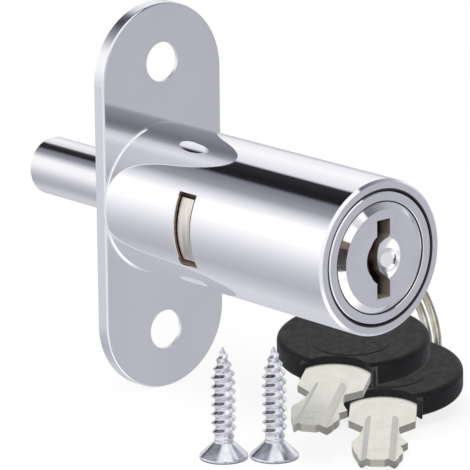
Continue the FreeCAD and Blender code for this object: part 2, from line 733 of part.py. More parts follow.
def make_wafer(number):
    body = new_body("wafer_" + str(number))
    place = wafer_front - wafer_pitch * (number - 1) + wafer_thickness / 2
    section = sketch_on(body, "XZ", "shape", place)
    top = beside(wafer_radius, wafer_half_width)
    outline(section, [
        (wafer_half_width, -top),
        (wafer_half_width, -wafer_arm_half),
        (wafer_arm, -wafer_arm_half),
        (wafer_arm, wafer_arm_half),
        (wafer_half_width, wafer_arm_half),
        (wafer_half_width, top),
        (-wafer_half_width, top),
        (-wafer_half_width, -top),
    ], {5: (wafer_radius, 1), 7: (wafer_radius, 1)})
    cut = wafer_cuts[number - 1]
    across = wafer_window_half_width
    low = cut - wafer_window_half_height
    high = cut + wafer_window_half_height
    rectangle(section, -across, across, low, high)
    extrude(body, "Pad", "plate", section, wafer_thickness, reverse=True)
    return body


def sleeve(name, radius, wall, length):
    # A small coil spring that nothing shows, drawn as a sleeve of its outer size.
    outside = doc.addObject("Part::Cylinder", name + "_outside")
    bore = doc.addObject("Part::Cylinder", name + "_bore")
    bind(outside, "Radius", radius)
    bind(bore, "Radius", radius - wall)
    for tube in (outside, bore):
        bind(tube, "Height", length)
    cut = doc.addObject("Part::Cut", name)
    cut.Base = outside
    cut.Tool = bore
    return cut


def make_wafer_springs():
    sleeves = []
    across = (wafer_slot_half + wafer_arm) / 2
    for number in range(wafer_count):
        name = "wafer_spring_" + str(number + 1)
        spring = sleeve(name, wafer_spring_radius, wafer_spring_wall, wafer_spring_length)
        for part in (spring.Base, spring.Tool):
            bind(part, "Placement.Base.x", across)
            bind(part, "Placement.Base.y", wafer_pitch * number - wafer_front)
            bind(part, "Placement.Base.z", -(wafer_arm_half + wafer_spring_length + clip_gap))
        sleeves.append(spring)
    springs = doc.addObject("Part::Compound", "wafer_springs")
    springs.Label = "wafer_springs"
    springs.Links = sleeves
    return springs


def make_latch():
    body = new_body("latch")
    shape = sketch_on(body, "XZ", "shape", latch_front)
    tip = beside(latch_tip_radius, latch_half_width)
    outline(shape, [
        (latch_tail, -latch_half_width),
        (latch_tail, latch_half_width),
        (-tip, latch_half_width),
        (-tip, -latch_half_width),
    ], {2: (latch_tip_radius, 1)})
    half = crank_pin_radius + latch_gap
    middle = -(latch_draw / 2)
    low = latch_draw / 2 - half
    high = latch_draw * crank_high + half
    rectangle(shape, middle - half, middle + half, low, high)
    extrude(body, "Pad", "plate", shape, latch_thickness, reverse=True)
    return body


def joined_arcs(start, start_way, end, end_way):
    # Two arcs that leave start and reach end along the given directions.
    chord = end - start
    ways = start_way + end_way
    bend = 2 * (1 - start_way.dot(end_way))
    reach = (math.sqrt(chord.dot(ways) ** 2 + bend * chord.dot(chord)) - chord.dot(ways)) / bend
    first = start + start_way * reach
    second = end - end_way * reach
    middle = (first + second) / 2
    arcs = []
    for a, peak, b in ((start, first, middle), (middle, second, end)):
        half = (b - a).Length / 2
        lean = math.acos(half / (peak - a).Length)
        centre = (a + b) / 2
        top = centre + (peak - centre).normalize() * (half * math.tan(lean / 2))
        arcs.append(Part.Arc(a, top, b).toShape())
    return arcs


def wound_wire(radius, wire_radius, angles, height):
    # Round wire wound about Z, where height gives its level at each angle.
    def point(angle):
        return Vector(radius * math.cos(angle), radius * math.sin(angle), height(angle))

    def way(angle):
        step = 1e-4
        return (point(angle + step) - point(angle - step)).normalize()

    edges = []
    for a, b in zip(angles, angles[1:]):
        edges += joined_arcs(point(a), way(a), point(b), way(b))
    start = angles[0]
    section = Part.Wire(Part.Circle(point(start), way(start), wire_radius).toShape())
    return Part.Wire(edges).makePipeShell([section], True, False)


def make_return_spring():
    # A coil between the plunger and the bolt guide, wound about Y.
    wire_radius = float(return_spring_wire) / 2
    room = float(plunger_rear - guide_thickness - latch_gap * 2)
    angles = [math.pi / 2 * i for i in range(4 * return_spring_turns + 1)]
    rise = (room - 2 * wire_radius) / angles[-1]

    def height(angle):
        return wire_radius + rise * angle

    spring = doc.addObject("Part::Feature", "return_spring")
    spring.Label = "return_spring"
    spring.Shape = wound_wire(float(return_spring_radius), wire_radius, angles, height)
    start = Vector(0, float(latch_gap - plunger_rear), 0)
    spring.Placement = Placement(start, Rotation(Vector(1, 0, 0), -90))
    gap = rise * 2 * math.pi - 2 * wire_radius
    print("return_spring least gap between turns", round(gap, 3))
    return spring


def make_latch_spring():
    spring = sleeve("latch_spring", latch_spring_outside, latch_spring_wire, latch_spring_length)
    spring.Label = "latch_spring"
    for part in (spring.Base, spring.Tool):
        bind(part, "Placement.Base.x", latch_tail + latch_gap)
        bind(part, "Placement.Base.y", -latch_middle)
        bind(part, "Placement.Base.z", -latch_spring_height)
        part.Placement.Rotation = Rotation(Vector(0, 1, 0), 90)
    return spring


def make_screw(number):
    body = new_body("screw_" + str(number))
    section = sketch_on(body, "XZ", "section")
    cone = screw_head_edge + screw_head_radius - screw_shank_radius
    outline(section, [
        (zero, zero),
        (screw_head_radius, zero),
        (screw_head_radius, screw_head_edge),
        (screw_shank_radius, cone),
        (screw_shank_radius, screw_length - screw_tip),
        (zero, screw_length),
    ])
    turn(body, "Revolution", "shank", section)
    cross = sketch_on(body, "XY", "recess_section")
    long = recess_half_length
    wide = recess_half_width
    outline(cross, [
        (long, -wide), (long, wide), (wide, wide), (wide, long), (-wide, long), (-wide, wide),
        (-long, wide), (-long, -wide), (-wide, -wide), (-wide, -long), (wide, -long),
        (wide, -wide),
    ])
    recess = extrude(body, "Pocket", "recess", cross, recess_depth, reverse=True)
    bind(recess, "TaperAngle", -recess_taper)
    side = 0.5 if number == 2 else -0.5
    across = screw_apart_across * side - screw_left
    along = -(screw_apart_ahead * side) - screw_ahead
    bind(body, "Placement.Base.x", across)
    bind(body, "Placement.Base.y", along)
    bind(body, "Placement.Base.z", ground)
    return body


def sheet_outline(sketch, rise):
    # Section of the key's sheet: flat sides and a middle that is raised by rise.
    half = key_sheet / 2
    side = key_shoulder_half + cut_past
    lower = [
        (-side, -half), (-key_bow_end, -half), (-key_bow_half, rise - half),
        (key_bow_half, rise - half), (key_bow_end, -half), (side, -half),
    ]
    upper = [(across, along + key_sheet) for across, along in reversed(lower)]
    outline(sketch, lower + upper)


def make_key_blade(number, placement):
    body = new_body("key_" + str(number) + "_blade")
    bow_full = key_bow_start + key_bow_run
    root = sketch_on(body, "YZ", "root_section", key_bow_start)
    sheet_outline(root, zero)
    extrude(body, "Pad", "root", root, key_bow_start - key_tang, reverse=True)
    full = sketch_on(body, "YZ", "full_section", bow_full)
    sheet_outline(full, key_bow)
    rise = body.newObject("PartDesign::AdditiveLoft", body.Name + "_rise")
    rise.Profile = (root, [""])
    rise.Sections = [(full, [""])]
    rise.Ruled = True
    extrude(body, "Pad", "sheet", full, key_blade_end + cut_past - bow_full)
    shape = sketch_on(body, "XY", "outline")
    room = key_shoulder_half + cut_past * 4
    rectangle(shape, key_tang - cut_past, key_blade_end + cut_past * 2, -room, room)
    outline(shape, key_edge, key_edge_rounds)
    extrude(body, "Pocket", "trim", shape, (key_bow + key_sheet) * 4, middle=True)
    body.Placement = placement
    return body


def make_key_head(number, placement):
    body = new_body("key_" + str(number) + "_head")
    disc_shape = sketch_on(body, "XY", "disc_shape")
    circle(disc_shape, zero, zero, key_head_radius)
    disc = extrude(body, "Pad", "disc", disc_shape, key_head_thickness, middle=True)
    level = float(key_head_thickness) / 2

    def on_rim(edge):
        return lies_at(edge, "z", level) or lies_at(edge, "z", -level)

    round_edges(body, "Fillet", "rim", disc, on_rim, key_head_edge)
    boss_shape = sketch_on(body, "XY", "boss_shape")
    circle(boss_shape, key_boss_offset, zero, key_boss_radius)
    extrude(body, "Pad", "boss", boss_shape, key_head_thickness + key_boss_height * 2, middle=True)
    wing_shape = sketch_on(body, "XY", "wing_shape")
    rectangle(wing_shape, key_tang, key_wing_end, -key_wing_half, key_wing_half)
    extrude(body, "Pad", "wings", wing_shape, key_wing_thickness, middle=True)
    bite_shape = sketch_on(body, "XY", "bite_shape")
    circle(bite_shape, key_bite_start + key_bite_radius, zero, key_bite_radius)
    extrude(body, "Pocket", "bite", bite_shape, key_head_thickness * 2, middle=True)
    slot_shape = sketch_on(body, "XY", "slot_shape")
    stadium(slot_shape, -key_slot_place, zero, key_slot_half, key_slot_radius)
    extrude(body, "Pocket", "slot", slot_shape, key_head_thickness * 2, middle=True)
    pocket = sketch_on(body, "YZ", "tang_section", key_tang - key_fit)
    side = key_shoulder_half + key_fit
    high = key_sheet / 2 + key_fit
    rectangle(pocket, -side, side, -high, high)
    extrude(body, "Pocket", "tang_pocket", pocket, key_head_radius, reverse=True)
    body.Placement = placement
    return body


def make_key_ring(placement):
    # The wire runs flat for nearly a turn, steps over by one pitch, and runs flat again.
    wire_radius = float(ring_wire) / 2
    step = math.radians(ring_step)
    pitch = float(ring_pitch)

    def height(angle):
        share = (angle - (2 * math.pi - step)) / (2 * step)
        share = min(1.0, max(0.0, share))
        return pitch * share * share * (3 - 2 * share) - pitch / 2

    first_turn = [step * 1.5, math.pi * 0.75, math.pi * 1.25, 2 * math.pi - step]
    second_turn = [2 * math.pi, 2 * math.pi + step, math.pi * 2.75, math.pi * 3.25]
    last = 4 * math.pi - step * 1.5
    angles = first_turn + second_turn + [last]
    ring = doc.addObject("Part::Feature", "key_ring")
    ring.Label = "key_ring"
    ring.Shape = wound_wire(float(ring_radius), wire_radius, angles, height)
    ring.Placement = placement
    print("key_ring least gap between turns", round(pitch - 2 * wire_radius, 3))
    return ring


def make_keys():
    # The keys lie on each other with the ring leaning through both slots. The lower key's tip
    # and the ring's lowest point rest on the ground, so the stack is pitched.
    slot = Vector(-float(key_slot_place), 0, 0)
    pitch = math.radians(keys_pitch)
    rise = float(key_sheet) / 2 * math.cos(pitch) + float(key_rest) * math.sin(pitch)
    stand = Vector(float(key_right), -float(key_ahead), float(ground) + rise)
    heading = Rotation(Vector(0, 0, 1), keys_heading)
    lower = Placement(stand, heading * Rotation(Vector(0, 1, 0), keys_pitch))
    fan = Rotation(Vector(0, 0, 1), upper_key_fan)
    shift = Vector(-float(key_shift_back), -float(key_shift_side), float(key_spacing))
    swing_place = slot + shift
    upper = lower * Placement(swing_place - fan.multVec(slot), fan)
    lean = math.radians(ring_lean)
    yaw = math.radians(ring_yaw)
    level = math.cos(lean)
    way = Vector(math.sin(yaw) * level, math.cos(yaw) * level, math.sin(lean))
    ring_from_slot = Vector(-float(ring_behind), 0, float(ring_above))
    ring = lower * Placement(slot + ring_from_slot, Rotation(Vector(0, 0, 1), way))
    for number, placement in ((1, upper), (2, lower)):
        make_key_blade(number, placement)
        make_key_head(number, placement)
        hinge = placement.multVec(slot)
        print("key", number, "hinge", [round(v, 3) for v in hinge])
    print("hinge axis", [round(v, 5) for v in lower.Rotation.multVec(Vector(0, 0, 1))])
    make_key_ring(ring)


make_barrel()
make_flange_plate()
make_bolt_guide()
make_plunger()
make_bolt()
make_bolt_pin()
make_core()
make_core_clip()
for wafer_number in range(1, wafer_count + 1):
    make_wafer(wafer_number)
make_wafer_springs()
make_latch()
make_latch_spring()
make_return_spring()
for screw_number in (1, 2):
    make_screw(screw_number)
make_keys()
doc.recompute()

node_names = ["barrel", "flange_plate", "bolt_guide", "plunger", "bolt", "bolt_pin", "core"]
node_names += ["core_clip", "wafer_springs", "latch", "latch_spring", "return_spring"]
node_names += ["wafer_" + str(number) for number in range(1, wafer_count + 1)]
node_names += ["screw_1", "screw_2", "key_1_blade", "key_1_head", "key_2_blade", "key_2_head"]
node_names += ["key_ring"]

for item in doc.Objects:
    if "Invalid" in item.State or "Error" in item.State:
        raise RuntimeError("failed feature: " + item.Label + " " + item.getStatusString())

solids = {}
for item in doc.Objects:
    if item.Label in node_names:
        shape = item.Shape
        if shape.isNull() or not shape.isValid() or not shape.Solids:
            raise RuntimeError("bad shape: " + item.Label)
        solids[item.Label] = shape

missing = [name for name in node_names if name not in solids]
if missing:
    raise RuntimeError("missing: " + ", ".join(missing))

os.makedirs("parts", exist_ok=True)
for name in node_names:
    solids[name].exportStep(os.path.join("parts", name + ".step"))
    print(name, len(solids[name].Solids), "solid(s)", round(solids[name].Volume, 2), "mm3")
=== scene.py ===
import math

import bmesh
import bpy
from mathutils import Matrix, Vector


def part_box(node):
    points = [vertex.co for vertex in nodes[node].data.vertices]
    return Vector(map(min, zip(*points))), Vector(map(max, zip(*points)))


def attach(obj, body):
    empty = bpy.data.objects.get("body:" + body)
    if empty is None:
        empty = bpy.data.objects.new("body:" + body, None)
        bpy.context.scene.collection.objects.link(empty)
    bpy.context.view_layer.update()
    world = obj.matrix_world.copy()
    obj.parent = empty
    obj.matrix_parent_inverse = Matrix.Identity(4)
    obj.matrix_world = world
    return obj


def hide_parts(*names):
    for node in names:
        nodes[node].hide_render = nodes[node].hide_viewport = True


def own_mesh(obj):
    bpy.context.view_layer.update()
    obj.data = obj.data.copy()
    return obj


# Push lock for sliding doors, with two wood screws and two keys on a ring.
# Metres; the lock's axis is Y, its key side is -Y and its flange stands along Z.
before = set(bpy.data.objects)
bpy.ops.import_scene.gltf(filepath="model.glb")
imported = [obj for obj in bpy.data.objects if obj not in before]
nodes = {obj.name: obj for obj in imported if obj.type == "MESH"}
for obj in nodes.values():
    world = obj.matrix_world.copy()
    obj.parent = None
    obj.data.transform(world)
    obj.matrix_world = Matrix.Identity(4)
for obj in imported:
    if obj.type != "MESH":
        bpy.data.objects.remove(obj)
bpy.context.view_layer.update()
mm = 0.001
fullTurn = 360     # degrees

studio = {
    "ground": -28.7,
    "floorSize": 3000.0,
    "floorGlow": 0.80,
    "floorPaint": (0.30, 0.30, 0.30),
    "diffuseLevel": 0.55,
    "metalLevel": 1.12,
    "lampPower": 1.1,
    "lampSize": 420.0,
    "lampPlace": (-260.0, -180.0, 520.0),
    "lampAim": (0.0, 0.0, -10.0),
    "cool": 0.10,         # how much bluer the darkest tones of the room are
    "coolGreen": 0.8,     # the share of it that green gives up
}

# What bright metal mirrors: a level for each angle round Y, in degrees, where 0 is +X, 90 is up,
# 180 is -X and 270 is down. rearRoom serves rays that leave towards the door (+Y), frontRoom
# those that leave almost straight to the front, and sideRoom those in between, which chamfers
# and rounded edges send out.
rearRoom = [
    (0, 0.55), (12, 0.80), (40, 0.93), (62, 0.80), (69, 0.72), (73, 0.030), (92, 0.014), (99, 0.02),
    (104, 0.20), (121, 0.32), (134, 0.70), (146, 1.0), (170, 1.0), (183, 0.87), (196, 0.72),
    (209, 0.58), (223, 0.49), (238, 0.44), (255, 0.52), (276, 0.64), (320, 0.60), (359, 0.55),
]
frontRoom = [
    (0, 0.37), (12, 0.29), (30, 0.25), (45, 0.21), (56, 0.18), (64, 0.22), (71, 0.33), (78, 0.62),
    (88, 0.76), (100, 0.62), (130, 0.55), (146, 0.46), (165, 0.52), (185, 0.90), (225, 0.95),
    (240, 0.72), (255, 0.52), (290, 0.49), (338, 0.46), (359, 0.37),
]
sideRoom = [
    (0, 0.42), (20, 0.45), (34, 0.42), (48, 0.30), (62, 0.19), (73, 0.16), (76, 1.0), (160, 0.90),
    (215, 0.74), (240, 1.0), (272, 1.0), (285, 0.62), (320, 0.47), (359, 0.42),
]

# Where one list gives way to the next, as shares of the way towards the door.
roomEdges = {"frontToSide": (-0.735, -0.705), "sideToRear": (-0.12, 0.12)}

# Things in the room with plain edges: a leaning dark stand in three parts with a brown top,
# a white card over it, and the pale wall far to the front. Each fills the angles between two
# values in degrees, and the way to the front (-Y) between two shares of it.
roomThings = [
    {"angle": (143, 161), "ahead": (0.810, 0.885), "colour": (0.20, 0.13, 0.11)},
    {"angle": (161, 186), "ahead": (0.810, 0.885), "colour": (0.04, 0.035, 0.035)},
    {"angle": (186, 200), "ahead": (0.795, 0.850), "colour": (0.04, 0.035, 0.035)},
    {"angle": (200, 214), "ahead": (0.775, 0.827), "colour": (0.04, 0.035, 0.035)},
    {"angle": (94, 142), "ahead": (0.785, 0.895), "colour": (1.0, 1.0, 1.0)},
    {"angle": (-1, 361), "ahead": (0.895, 1.01), "colour": (0.66, 0.66, 0.68)},
]


def setSocket(tree, socket, value):
    # value is another node's socket or a plain value
    if isinstance(value, bpy.types.NodeSocket):
        tree.links.new(value, socket)
    else:
        socket.default_value = value


def addNode(tree, kind, inputs=None, **settings):
    node = tree.nodes.new(kind)
    for name, value in settings.items():
        setattr(node, name, value)
    for name, value in (inputs or {}).items():
        setSocket(tree, node.inputs[name], value)
    return node


def addMath(tree, operation, *values):
    return addNode(tree, "ShaderNodeMath", dict(enumerate(values)), operation=operation).outputs[0]


def addStep(tree, value, low, high):
    # 0 below low, 1 above high, and an even curve between them
    limits = {"Value": value, "From Min": low, "From Max": high}
    return addNode(tree, "ShaderNodeMapRange", limits, interpolation_type="SMOOTHSTEP").outputs[0]


# Where a Mix node has its low value, its high value and its result, for numbers and for colours.
mixPlaces = {"FLOAT": (2, 3, 0), "RGBA": (6, 7, 2)}


def addBlend(tree, share, low, high, kind="RGBA"):
    lowPlace, highPlace, resultPlace = mixPlaces[kind]
    values = {"Factor": share, lowPlace: low, highPlace: high}
    return addNode(tree, "ShaderNodeMix", values, data_type=kind).outputs[resultPlace]


def addGlow(tree, colour, level):
    return addNode(tree, "ShaderNodeBackground", {"Color": colour, "Strength": level}).outputs[0]


def roomRamp(tree, share, stops):
    ramp = addNode(tree, "ShaderNodeValToRGB", {"Fac": share})
    points = ramp.color_ramp.elements
    while len(points) < len(stops):
        points.new(1.0)
    for point, (angle, level) in zip(points, stops):
        cool = studio["cool"] * (1 - level)
        green = level * (1 - cool * studio["coolGreen"])
        point.position = angle / fullTurn
        point.color = (level * (1 - cool), green, level * (1 + cool), 1)
    return ramp.outputs["Color"]


def buildWorld():
    world = bpy.data.worlds.new("studio")
    world.use_nodes = True
    bpy.context.scene.world = world
    tree = world.node_tree
    tree.nodes.clear()
    place = addNode(tree, "ShaderNodeTexCoord")
    way = addNode(tree, "ShaderNodeSeparateXYZ", {"Vector": place.outputs["Generated"]}).outputs
    towards = way["Y"]
    angle = addMath(tree, "ARCTAN2", way["Z"], way["X"])
    share = addMath(tree, "FRACT", addMath(tree, "DIVIDE", angle, 2 * math.pi))
    rear = roomRamp(tree, share, rearRoom)
    side = roomRamp(tree, share, sideRoom)
    front = roomRamp(tree, share, frontRoom)
    ahead = addBlend(tree, addStep(tree, towards, *roomEdges["frontToSide"]), front, side)
    room = addBlend(tree, addStep(tree, towards, *roomEdges["sideToRear"]), ahead, rear)
    for thing in roomThings:
        masks = []
        spans = ((share, thing["angle"], fullTurn), (towards, thing["ahead"], -1))
        for value, (low, high), unit in spans:
            middle = (low + high) / 2 / unit
            half = abs((high - low) / 2 / unit)
            masks.append(addMath(tree, "COMPARE", value, middle, half))
        room = addBlend(tree, addMath(tree, "MULTIPLY", *masks), room, (*thing["colour"], 1))
    path = addNode(tree, "ShaderNodeLightPath").outputs
    white = (1, 1, 1, 1)
    mirrored = addGlow(tree, room, studio["metalLevel"])
    plain = addGlow(tree, white, studio["diffuseLevel"])
    backdrop = addGlow(tree, white, 1.0)
    seen = addMath(tree, "MAXIMUM", path["Is Camera Ray"], path["Is Transmission Ray"])
    inner = addNode(tree, "ShaderNodeMixShader", {0: path["Is Glossy Ray"], 1: plain, 2: mirrored})
    outer = addNode(tree, "ShaderNodeMixShader", {0: seen, 1: inner.outputs[0], 2: backdrop})
    addNode(tree, "ShaderNodeOutputWorld", {"Surface": outer.outputs[0]})


def buildFloor():
    half = studio["floorSize"] * mm / 2
    level = studio["ground"] * mm
    mesh = bpy.data.meshes.new("floor")
    corners = ((-half, -half), (half, -half), (half, half), (-half, half))
    mesh.from_pydata([(x, y, level) for x, y in corners], [], [(0, 1, 2, 3)])
    floor = bpy.data.objects.new("floor", mesh)
    bpy.context.scene.collection.objects.link(floor)
    material = bpy.data.materials.new("paleFloor")
    material.use_nodes = True
    tree = material.node_tree
    tree.nodes.clear()
    floorPaint = addNode(tree, "ShaderNodeBsdfDiffuse", {"Color": (*studio["floorPaint"], 1)})
    seen = addNode(tree, "ShaderNodeLightPath").outputs["Is Camera Ray"]
    strength = addMath(tree, "MULTIPLY", seen, studio["floorGlow"])
    glow = addNode(tree, "ShaderNodeEmission", {"Strength": strength})
    both = addNode(tree, "ShaderNodeAddShader", {0: floorPaint.outputs[0], 1: glow.outputs[0]})
    addNode(tree, "ShaderNodeOutputMaterial", {"Surface": both.outputs[0]})
    mesh.materials.append(material)
    floor.visible_glossy = False


def buildLamp():
    light = bpy.data.lights.new("softbox", "AREA")
    light.shape = "SQUARE"
    light.size = studio["lampSize"] * mm
    light.energy = studio["lampPower"]
    lamp = bpy.data.objects.new("softbox", light)
    bpy.context.scene.collection.objects.link(lamp)
    lamp.location = Vector(studio["lampPlace"]) * mm
    aim = Vector(studio["lampAim"]) * mm - lamp.location
    lamp.rotation_euler = aim.to_track_quat("-Z", "Y").to_euler()
    lamp.visible_glossy = False


# The camera: lengths in mm, its roll in degrees.
view = {
    "place": (-361.0, -441.0, 144.5),
    "aim": (7.0, -7.55, -5.56),
    "roll": -0.61,
    "lens": 310.3,
    "sensor": 36.0,
    "nearest": 10.0,
    "farthest": 20000.0,
}


def buildCamera():
    data = bpy.data.cameras.new("camera")
    data.sensor_width = view["sensor"]
    data.lens = view["lens"]
    data.clip_start = view["nearest"] * mm
    data.clip_end = view["farthest"] * mm
    camera = bpy.data.objects.new("camera", data)
    bpy.context.scene.collection.objects.link(camera)
    place = Vector(view["place"]) * mm
    aim = Vector(view["aim"]) * mm
    turned = (aim - place).to_track_quat("-Z", "Y").to_matrix().to_4x4()
    roll = Matrix.Rotation(math.radians(view["roll"]), 4, "Z")
    camera.matrix_world = Matrix.Translation(place) @ turned @ roll
    bpy.context.scene.camera = camera


buildWorld()
buildFloor()
buildLamp()
buildCamera()
bpy.context.scene.view_settings.view_transform = "Standard"
print("studio ready")


def openGroup(name, inputs, outputs):
    group = bpy.data.node_groups.new(name, "ShaderNodeTree")
    for label, kind in inputs:
        group.interface.new_socket(label, in_out="INPUT", socket_type=kind)
    for label in outputs:
        group.interface.new_socket(label, in_out="OUTPUT", socket_type="NodeSocketFloat")
    return group, addNode(group, "NodeGroupInput").outputs, addNode(group, "NodeGroupOutput").inputs


def objectPlace(group):
    return addNode(group, "ShaderNodeTexCoord").outputs["Object"]


def splitVector(group, vector):
    return addNode(group, "ShaderNodeSeparateXYZ", {"Vector": vector}).outputs


def addReach(group, first, second):
    # how far a point is from an axis, from its two offsets square to it
    squares = [addMath(group, "POWER", offset, 2.0) for offset in (first, second)]
    return addMath(group, "SQRT", addMath(group, "ADD", *squares))


def addNoise(group, place, scale, detail):
    values = {"Vector": place, "Scale": scale, "Detail": detail}
    return addNode(group, "ShaderNodeTexNoise", values).outputs["Fac"]


# Small uneven spots: a broad noise gives the mask, and one several times smaller the height.
fineGrain = {
    "broadDetail": 4.0, "smallDetail": 2.0, "timesSmaller": 6.0,
    "low": 0.35, "high": 0.65, "bumpDepth": 0.0002,
}


def fineGrainGroup():
    inputs = [("Scale", "NodeSocketFloat"), ("Stretch", "NodeSocketVector")]
    group, given, result = openGroup("fineGrain", inputs, ["Mask", "Height"])
    factors = {0: objectPlace(group), 1: given["Stretch"]}
    drawn = addNode(group, "ShaderNodeVectorMath", factors, operation="MULTIPLY").outputs[0]
    smallScale = addMath(group, "MULTIPLY", given["Scale"], fineGrain["timesSmaller"])
    broad = addNoise(group, drawn, given["Scale"], fineGrain["broadDetail"])
    small = addNoise(group, drawn, smallScale, fineGrain["smallDetail"])
    limits = {"Value": broad, "From Min": fineGrain["low"], "From Max": fineGrain["high"]}
    spread = addNode(group, "ShaderNodeMapRange", limits)
    group.links.new(spread.outputs[0], result["Mask"])
    group.links.new(small, result["Height"])
    return group


def zoneGroup():
    # A ring-shaped zone round the lock's axis, in metres: between two radii and two places
    # along Y, with edges that fade over Soft.
    inputs = [(label, "NodeSocketFloat") for label in ("Inner", "Outer", "Front", "Back", "Soft")]
    group, given, result = openGroup("zone", inputs, ["Mask"])
    place = splitVector(group, objectPlace(group))
    radius = addReach(group, place["X"], place["Z"])
    mask = 1.0
    for value, low, high in ((radius, "Inner", "Outer"), (place["Y"], "Front", "Back")):
        above = addMath(group, "SUBTRACT", value, given[low])
        below = addMath(group, "SUBTRACT", given[high], value)
        for inside in (above, below):
            step = addStep(group, inside, 0.0, given["Soft"])
            mask = addMath(group, "MULTIPLY", mask, step)
    group.links.new(mask, result["Mask"])
    return group


def wallGroup():
    # Faces that look sideways from Axis, such as the keyway's walls or a key's edges and slopes:
    # their normal has less than Limit along it.
    inputs = [("Axis", "NodeSocketVector"), ("Limit", "NodeSocketFloat")]
    group, given, result = openGroup("walls", inputs, ["Mask"])
    facing = addNode(group, "ShaderNodeTexCoord").outputs["Normal"]
    factors = {0: facing, 1: given["Axis"]}
    along = addNode(group, "ShaderNodeVectorMath", factors, operation="DOT_PRODUCT")
    slope = addMath(group, "ABSOLUTE", along.outputs["Value"])
    group.links.new(addMath(group, "LESS_THAN", slope, given["Limit"]), result["Mask"])
    return group


def holeGroup():
    # Walls and countersinks of the two screw holes, which stand at the same height over and
    # under the lock's axis: within Reach of a hole's middle, and with less than Limit along Y.
    inputs = [(label, "NodeSocketFloat") for label in ("Height", "Reach", "Limit")]
    group, given, result = openGroup("holes", inputs, ["Mask"])
    place = splitVector(group, objectPlace(group))
    facing = splitVector(group, addNode(group, "ShaderNodeTexCoord").outputs["Normal"])
    upwards = addMath(group, "SUBTRACT", addMath(group, "ABSOLUTE", place["Z"]), given["Height"])
    near = addMath(group, "LESS_THAN", addReach(group, place["X"], upwards), given["Reach"])
    slope = addMath(group, "ABSOLUTE", facing["Y"])
    leaning = addMath(group, "LESS_THAN", slope, given["Limit"])
    group.links.new(addMath(group, "MULTIPLY", near, leaning), result["Mask"])
    return group


# How open a spot is where the painted shade of inside corners starts, and where it is full.
cornerShade = {"starts": 0.92, "full": 0.45, "samples": 8}


# Painted shade in creases and inside corners: ambient occlusion turned into a mask.
def cornerGroup():
    group, given, result = openGroup("corners", [("Distance", "NodeSocketFloat")], ["Mask"])
    distance = {"Distance": given["Distance"]}
    samples = cornerShade["samples"]
    shade = addNode(group, "ShaderNodeAmbientOcclusion", distance, samples=samples).outputs["AO"]
    limits = {"Value": shade, "From Min": cornerShade["starts"], "From Max": cornerShade["full"]}
    step = addNode(group, "ShaderNodeMapRange", limits)
    group.links.new(step.outputs[0], result["Mask"])
    return group


effects = {
    "fineGrain": fineGrainGroup(), "zone": zoneGroup(), "walls": wallGroup(), "holes": holeGroup(),
    "corners": cornerGroup(),
}
everywhere = 1000.0                     # mm, past any piece
lockAxis = (0.0, 1.0, 0.0)
keyAxis = (-0.0996, -0.0996, 0.990)     # square to the flat of both keys


def zone(inner=0.0, outer=everywhere, front=-everywhere, back=everywhere, soft=0.05):
    # the zone effect with its sizes in mm
    sizes = {"Inner": inner, "Outer": outer, "Front": front, "Back": back, "Soft": soft}
    return ("zone", {label: value * mm for label, value in sizes.items()})
